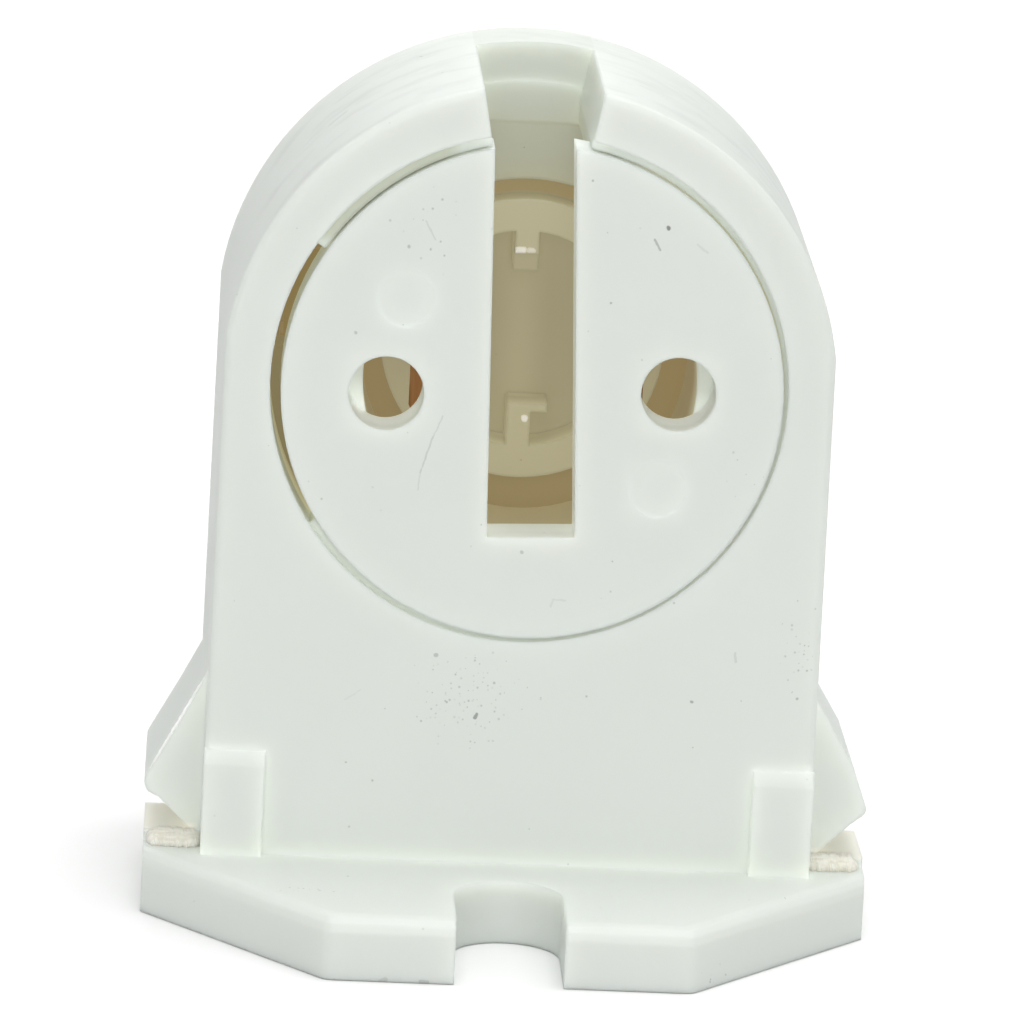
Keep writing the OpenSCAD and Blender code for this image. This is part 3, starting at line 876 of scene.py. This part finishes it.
@dataclass
class TornScar:
    """The rough scar along an ear's front edge, where the gate was torn off (sizes in mm)."""

    name: str
    start: Point
    end: Point
    half_depth: float
    half_height: float
    rough: float
    seed: int
    steps: int = 120
    sides: int = 56
    # Length over which each end swells, and of the coarse and the fine lumps (mm).
    ends: float = 0.5
    coarse: float = 1.3
    fine: float = 0.4

    def build(self, material: bpy.types.Material) -> bpy.types.Object:
        """Carries an ellipse from start to end, with uneven lumps on it.

        At angle t the section lies at y = a * cos t, z = b * sin t. Both a and b grow from almost
        nothing at each end, along a quarter of a circle, and the lumps scale them both.

        Args:
            material: The scar's material.

        Returns:
            The piece.
        """
        start, end = np.array(self.start), np.array(self.end)
        length = float(np.linalg.norm(end - start))
        s = np.linspace(0, length, self.steps)
        t = np.linspace(0, 2 * math.pi, self.sides, endpoint=False)
        along, turn = np.meshgrid(s, t, indexing="ij")
        edge = np.clip(np.minimum(along, length - along) / self.ends, 0.0, 1.0)
        swell = np.sqrt(1 - (1 - edge) ** 2) * 0.97 + 0.03
        coarse = lumps(self.seed, along, turn, self.coarse)
        fine = lumps(self.seed + 1, along, 3 * turn, self.fine)
        lift = 1 + self.rough * (coarse + 0.5 * fine)
        deep = self.half_depth * swell * lift * np.cos(turn)
        high = self.half_height * swell * lift * np.sin(turn)
        centre = start + (end - start) * (s / length)[:, None]
        rings = centre[:, None, :] + np.stack([np.zeros_like(deep), deep, high], axis=-1)
        piece = closed_skin(self.name, rings)
        piece.data.materials.append(material)
        return piece


@dataclass
class Studio:
    """The camera at the photograph's angle, the lamps, the white surround and the floor."""

    azimuth: float = -2.70
    elevation: float = 12.9
    roll: float = 3.015
    distance: float = 300.0
    aim: Point = (-0.49, 0.0, 18.72)
    focal: float = 242.16
    fill: float = 0.62
    # Each softbox's middle (mm), side (mm) and power (W).
    softboxes: dict[str, tuple[Point, float, float]] = field(default_factory=lambda: {
        "softbox_above": ((0.0, 0.0, 500.0), 250.0, 0.69),
        "softbox_front": ((0.0, -500.0, 100.0), 400.0, 0.86),
        "softbox_behind": ((0.0, 400.0, 300.0), 300.0, 0.36),
        "softbox_right": ((160.0, 40.0, 450.0), 260.0, 0.32),
    })
    floor_half: float = 1500.0
    # The floor lies this far under the object (mm), so that the two never share a face.
    floor_drop: float = 0.03
    # The softboxes face this height (mm).
    lamp_aim: float = 20.0

    def camera(self) -> None:
        """Sets the camera from its angles round the aim, then rolls it about its own line of sight."""
        a, e, turn = (math.radians(v) for v in (self.azimuth, self.elevation, self.roll))
        back = Vector((math.sin(a) * math.cos(e), -math.cos(a) * math.cos(e), math.sin(e)))
        right = Vector((math.cos(a), math.sin(a), 0.0))
        up = back.cross(right)
        across = math.cos(turn) * right + math.sin(turn) * up
        above = -math.sin(turn) * right + math.cos(turn) * up
        data = bpy.data.cameras.new("camera")
        data.sensor_width = 36.0
        data.lens = self.focal
        data.clip_start, data.clip_end = 0.02, 20.0
        camera = bpy.data.objects.new("camera", data)
        place = (Vector(self.aim) + back * self.distance) * MM
        turned = Matrix((across, above, back)).transposed().to_4x4()
        camera.matrix_world = Matrix.Translation(place) @ turned
        bpy.context.scene.collection.objects.link(camera)
        bpy.context.scene.camera = camera

    def lamp(self, name: str, place: Point, size: float, power: float) -> None:
        """Adds a square softbox that faces the object.

        Args:
            name: The lamp's name.
            place: Its middle (mm).
            size: Its side (mm).
            power: Its power (W).
        """
        data = bpy.data.lights.new(name, "AREA")
        data.size = size * MM
        data.energy = power
        lamp = bpy.data.objects.new(name, data)
        lamp.location = Vector(place) * MM
        lamp.rotation_mode = "QUATERNION"
        away = lamp.location - Vector((0, 0, self.lamp_aim * MM))
        lamp.rotation_quaternion = away.to_track_quat("Z", "Y")
        bpy.context.scene.collection.objects.link(lamp)

    def surround(self) -> None:
        """Makes the world: white to the camera, softer as a light."""
        world = bpy.data.worlds.new("studio")
        world.use_nodes = True
        tree = world.node_tree
        tree.nodes.clear()
        add = partial(add_node, tree)
        path = add("LightPath").node
        level = joined(tree, "MAXIMUM", path.outputs["Is Camera Ray"],
                       path.outputs["Is Transmission Ray"], self.fill)
        add("OutputWorld", (add("Background", ((1, 1, 1, 1), level)),))
        bpy.context.scene.world = world

    def floor(self) -> None:
        """Lays the pale floor, a flat sheet just under the object."""
        half, low = self.floor_half * MM, -self.floor_drop * MM
        mesh = bpy.data.meshes.new("floor")
        places = [(-half, -half, low), (half, -half, low), (half, half, low), (-half, half, low)]
        mesh.from_pydata(places, [], [(0, 1, 2, 3)])
        sheet = bpy.data.objects.new("floor", mesh)
        bpy.context.scene.collection.objects.link(sheet)
        material, tree = new_material("paper_sweep_matt")
        add = partial(add_node, tree)
        seen = add("LightPath")
        paper = add("BsdfDiffuse", ((0.7, 0.7, 0.7, 1),))
        white = add("BsdfDiffuse", ((1.0, 1.0, 1.0, 1),))
        add("OutputMaterial", (add("MixShader", (seen, paper, white)),))
        mesh.materials.append(material)

    def build(self) -> None:
        """Makes the whole studio."""
        bpy.context.scene.view_settings.view_transform = "Standard"
        self.camera()
        self.surround()
        self.floor()
        for name, (place, size, power) in self.softboxes.items():
            self.lamp(name, place, size, power)
        log.info("studio set")


def dress(name: str, material: bpy.types.Material) -> None:
    """Gives a CAD node its material.

    Args:
        name: The node's name.
        material: The material for all its faces.
    """
    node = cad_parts[name]
    node.data.materials.clear()
    node.data.materials.append(material)


# Wear on the body's front and flange, as handling left it (mm).
BODY_MARKS = (
    dot(7.83, 10.53, 0.16, 0.5), dot(12.45, 10.85, 0.14, 0.4), dot(-3.48, 12.16, 0.2, 0.35),
    stroke(-1.66, 9.4, -1.57, 9.56, 0.16, 0.6), stroke(9.61, 12.8, 9.64, 12.4, 0.12, 0.15),
    dot(-6.93, 4.22, 0.12, 0.25), dot(-2.92, 10.06, 0.12, 0.4), dot(-0.88, 11.01, 0.14, 0.35),
    stroke(-7.37, 9.97, -6.73, 10.44, 0.1, 0.06),
    Mark((-6.95, -2.9, 2.8), (-6.95, -2.9, 2.8), 0.14, 0.35),
    Mark((-5.5, -9.3, 0.0), (-5.3, -9.3, 0.1), 0.25, 0.18),
    Mark((-3.8, -9.3, 0.05), (-3.5, -9.3, 0.05), 0.2, 0.22),
    Mark((8.21, -9.3, 0.1), (8.5, -9.1, 0.2), 0.25, 0.4),
    Mark((0.0, -3.25, 0.1), (0.6, -3.2, 0.1), 0.3, 0.25),
    Mark((1.15, 11.9, 36.4), (1.1, 11.9, 36.2), 0.12, 0.5),
    Mark((2.3, 7.0, 34.9), (2.3, 7.0, 34.9), 0.16, 0.5),
    Mark((-8.9, 8.0, 34.05), (-8.4, 8.2, 34.5), 0.5, 0.12),
    Mark((8.0, 8.0, 35.4), (8.5, 8.0, 35.0), 0.6, 0.14),
)
BODY_PATCHES = (
    Patch((-2.1, 0.0, 10.4), (2.9, 1.0, 2.9), 0.4), Patch((12.4, 0.0, 13.2), (1.1, 1.0, 2.9), 0.24),
    Patch((-9.0, -5.4, 2.8), (1.9, 0.7, 0.5), 0.5), Patch((9.6, -8.4, 0.4), (2.0, 1.8, 0.9), 0.3),
)
# Wear on the rotor's disc (mm).
DISC_MARKS = (
    dot(5.61, 31.58, 0.22, 0.75), stroke(5.07, 31.03, 5.31, 30.6, 0.12, 0.4),
    stroke(6.94, 30.89, 7.39, 30.56, 0.12, 0.1), dot(3.32, 28.16, 0.12, 0.4),
    dot(2.26, 33.51, 0.13, 0.35), dot(-7.66, 26.38, 0.16, 0.3), dot(0.03, 16.94, 0.18, 0.3),
    stroke(1.43, 14.54, 1.5, 14.86, 0.1, 0.1),
    stroke(1.5, 14.86, 2.07, 14.88, 0.1, 0.1), dot(-5.54, 30.26, 0.17, 0.35),
    stroke(-3.7, 22.86, -4.09, 21.91, 0.08, 0.14), stroke(-4.09, 21.91, -4.58, 20.29, 0.09, 0.2),
    stroke(-4.58, 20.29, -4.63, 19.52, 0.08, 0.12), stroke(-4.86, 31.42, -4.39, 30.61, 0.09, 0.14),
)
DISC_PATCHES = (
    Patch((-4.4, 0.0, 31.0), (2.6, 1.0, 2.4), 0.12), Patch((9.6, 0.0, 20.6), (1.2, 1.0, 2.2), 0.1),
)
# The two ejector marks, with a polish that makes them a little lighter (mm).
EJECTOR_MARKS = (dot(-5.47, 28.01, 2.3, 0.1), dot(5.95, 20.03, 2.3, 0.08))
# Painted highlights on the front edges of the ring's tabs, where their steps catch the light (mm).
TAB_PAINTED_HIGHLIGHTS = (
    Mark((-0.38, 12.0, 28.04), (-0.02, 12.0, 28.08), 0.3, 0.9),
    Mark((0.24, 12.0, 28.06), (0.4, 12.0, 28.06), 0.26, 0.6),
    Mark((0.4, 12.0, 20.36), (0.44, 12.0, 20.32), 0.32, 0.95),
)
# Front corner of the left wing's outer face (mm).
LEFT_WING_EDGE = ((-13.5, 2.02, 10.3), (-14.61, 2.02, 8.15), (-15.85, 2.02, 5.85))


@dataclass
class Holder:
    """The housing and its rear cover, with the flash and the scars left on the housing."""

    housing: HousingPlastic = field(default_factory=lambda: HousingPlastic(
        "polycarbonate_moulded_housing", marks=BODY_MARKS, patches=BODY_PATCHES))
    cover: CoverPlastic = field(default_factory=lambda: CoverPlastic(
        "polycarbonate_moulded_cover", shallow_shade="C9C5A6", deep="B0AA8C", tan_from=11.5, tan_to=13.6,
        painted_glow=0.33, through=0.0, polish_and_glint_marks=TAB_PAINTED_HIGHLIGHTS))
    torn: TornPlastic = field(default_factory=TornPlastic)
    # The flash gets more painted light by emission.
    flash: TornPlastic = field(default_factory=lambda: TornPlastic(
        "polycarbonate_mould_flash", pale="FCFCF9", shade="EDEFE8", fibre=0.3, painted_glow=0.25))
    bead: FlashBead = field(default_factory=lambda: FlashBead(
        "flash_left_wing", LEFT_WING_EDGE, 0.06, 11))
    scars: tuple[TornScar, ...] = (
        TornScar("torn_edge_left", (-15.85, 1.85, 2.9), (-13.3, 1.8, 2.9), 1.15, 0.42, 0.06, 21),
        TornScar("torn_edge_right", (13.3, 1.9, 2.9), (15.8, 2.0, 2.9), 1.1, 0.42, 0.06, 31),
    )

    def build(self) -> None:
        """Dresses the two mouldings and adds the flash and the scars."""
        dress("housing", self.housing.build())
        dress("rear_cover", self.cover.build())
        cream, bright = self.torn.build(), self.flash.build()
        pieces = [self.bead.build(bright)] + [scar.build(cream) for scar in self.scars]
        for piece in pieces:
            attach(piece, HOLDER)
            log.info("%s: %d faces", piece.name, len(piece.data.polygons))
        log.info("housing and rear cover dressed")


@dataclass
class Turner:
    """The rotor that the tube's pins turn."""

    finish: RotorPlastic = field(default_factory=lambda: RotorPlastic(
        "polycarbonate_moulded_rotor", tan_from=2.9, marks=DISC_MARKS, patches=DISC_PATCHES,
        polish_and_glint_marks=EJECTOR_MARKS))

    def build(self) -> None:
        """Dresses the rotor."""
        dress("rotor", self.finish.build())
        log.info("rotor dressed")


@dataclass
class Contacts:
    """The two contact strips."""

    finish: PhosphorBronze = field(default_factory=PhosphorBronze)

    def build(self) -> None:
        """Dresses both strips."""
        bronze = self.finish.build()
        for side in ("left", "right"):
            dress(f"contact_{side}", bronze)
        log.info("contacts dressed")


def corners(pair: tuple[Vector, Vector]) -> list[list[float]]:
    """Two corners as plain lists."""
    return [list(pair[0]), list(pair[1])]


def main() -> None:
    """Builds the studio and each sub-assembly."""
    logging.basicConfig(level=logging.INFO, format="%(name)s: %(message)s")
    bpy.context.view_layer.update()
    Studio().build()
    Holder().build()
    Turner().build()
    Contacts().build()


if __name__ == "__main__":
    main()
